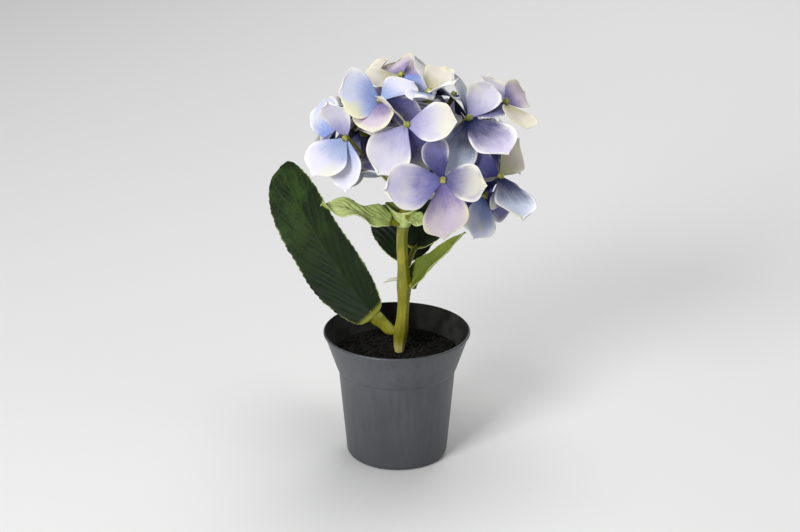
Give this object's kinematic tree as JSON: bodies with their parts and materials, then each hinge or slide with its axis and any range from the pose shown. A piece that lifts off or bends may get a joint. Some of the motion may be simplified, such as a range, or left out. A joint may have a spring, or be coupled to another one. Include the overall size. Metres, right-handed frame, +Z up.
{
  "type": "hydrangea shrub",
  "caption": "Small artificial hydrangea with a round blue-lilac flower head on one leafy stem, standing in a tapered nursery pot with a flared collar.",
  "frame": {"origin": "centre of the pot's flat underside", "axes": "+Z up along the pot's axis; the front, from which the leaning flower head shows its lowest blossoms, faces -Y, and +X is the side that the flower head leans to"},
  "size_m": [0.127, 0.1127, 0.1947],
  "materials": {
    "pot": "satin",
    "fill": "matte",
    "stem": "satin",
    "leaf": "matte",
    "bloom": "matte"
  },
  "bodies": {
    "root": {"pot": "pot", "fill": "fill", "stem": "stem", "leaf_stalk_low_left": "stem", "leaf_low_left": "leaf", "leaf_stalk_middle_right": "stem", "leaf_middle_right": "leaf", "leaf_stalk_middle_back_left": "stem", "leaf_middle_back_left": "leaf", "leaf_stalk_upper_back_right": "stem", "leaf_upper_back_right": "leaf", "leaf_stalk_top_left": "stem", "leaf_top_left": "leaf", "leaf_stalk_top_front": "stem", "leaf_top_front": "leaf", "flower_hub": "stem", "flower_stalk_top": "stem", "bloom_top": "bloom", "flower_stalk_upper_front": "stem", "bloom_upper_front": "bloom", "flower_stalk_upper_right": "stem", "bloom_upper_right": "bloom", "flower_stalk_upper_back": "stem", "bloom_upper_back": "bloom", "flower_stalk_upper_left": "stem", "bloom_upper_left": "bloom", "flower_stalk_lower_front_left": "stem", "bloom_lower_front_left": "bloom", "flower_stalk_lower_front_right": "stem", "bloom_lower_front_right": "bloom", "flower_stalk_lower_right": "stem", "bloom_lower_right": "bloom", "flower_stalk_lower_back_right": "stem", "bloom_lower_back_right": "bloom", "flower_stalk_lower_back_left": "stem", "bloom_lower_back_left": "bloom", "flower_stalk_lower_left": "stem", "bloom_lower_left": "bloom"}
  },
  "joints": []
}
